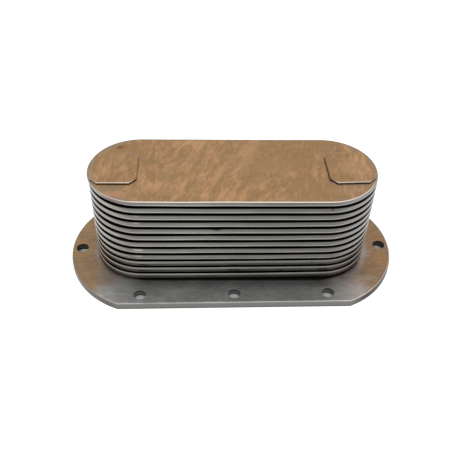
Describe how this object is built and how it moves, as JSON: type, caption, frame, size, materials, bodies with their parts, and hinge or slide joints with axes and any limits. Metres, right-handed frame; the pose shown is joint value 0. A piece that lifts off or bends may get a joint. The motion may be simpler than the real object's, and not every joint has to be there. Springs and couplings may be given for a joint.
{
  "type": "engine oil cooler core",
  "caption": "Brazed stack of hollow oil plates on a bolting flange; oil runs inside the plates, coolant between them.",
  "frame": {"origin": "middle of the flange's underside, the face that seats on the housing", "axes": "+X along the length, +Y towards the back long side, +Z from the flange towards the stack of plates"},
  "size_m": [0.2874, 0.1374, 0.0961],
  "materials": {
    "copper_washed_sheet": "thin brown copper wash from furnace brazing over satin rolled steel",
    "plate_sheet": "satin pressed steel sheet with faint braze stains",
    "flange_plate": "rolled steel plate, grey in the middle and copper brown towards both ends",
    "spacer_steel": "steel with a brown braze film",
    "turbulator_sheet": "thin corrugated steel strip with a copper wash"
  },
  "bodies": {
    "root": {"mounting_flange": "flange_plate", "port_spacers_01": "spacer_steel", "element_01_pan": "plate_sheet", "element_01_turbulator": "turbulator_sheet", "element_01_cover": "plate_sheet", "port_spacers_02": "spacer_steel", "element_02_pan": "plate_sheet", "element_02_turbulator": "turbulator_sheet", "element_02_cover": "plate_sheet", "port_spacers_03": "spacer_steel", "element_03_pan": "plate_sheet", "element_03_turbulator": "turbulator_sheet", "element_03_cover": "plate_sheet", "port_spacers_04": "spacer_steel", "element_04_pan": "plate_sheet", "element_04_turbulator": "turbulator_sheet", "element_04_cover": "plate_sheet", "port_spacers_05": "spacer_steel", "element_05_pan": "plate_sheet", "element_05_turbulator": "turbulator_sheet", "element_05_cover": "plate_sheet", "port_spacers_06": "spacer_steel", "element_06_pan": "plate_sheet", "element_06_turbulator": "turbulator_sheet", "element_06_cover": "plate_sheet", "port_spacers_07": "spacer_steel", "element_07_pan": "plate_sheet", "element_07_turbulator": "turbulator_sheet", "element_07_cover": "plate_sheet", "port_spacers_08": "spacer_steel", "element_08_pan": "plate_sheet", "element_08_turbulator": "turbulator_sheet", "element_08_cover": "plate_sheet", "port_spacers_09": "spacer_steel", "element_09_pan": "plate_sheet", "element_09_turbulator": "turbulator_sheet", "element_09_cover": "plate_sheet", "port_spacers_10": "spacer_steel", "element_10_pan": "plate_sheet", "element_10_turbulator": "turbulator_sheet", "element_10_cover": "plate_sheet", "port_spacers_11": "spacer_steel", "element_11_pan": "plate_sheet", "element_11_turbulator": "turbulator_sheet", "element_11_cover": "plate_sheet", "port_spacers_12": "spacer_steel", "element_12_pan": "plate_sheet", "element_12_turbulator": "turbulator_sheet", "element_12_cover": "copper_washed_sheet", "port_cap_left": "copper_washed_sheet", "port_cap_right": "copper_washed_sheet"}
  },
  "joints": []
}
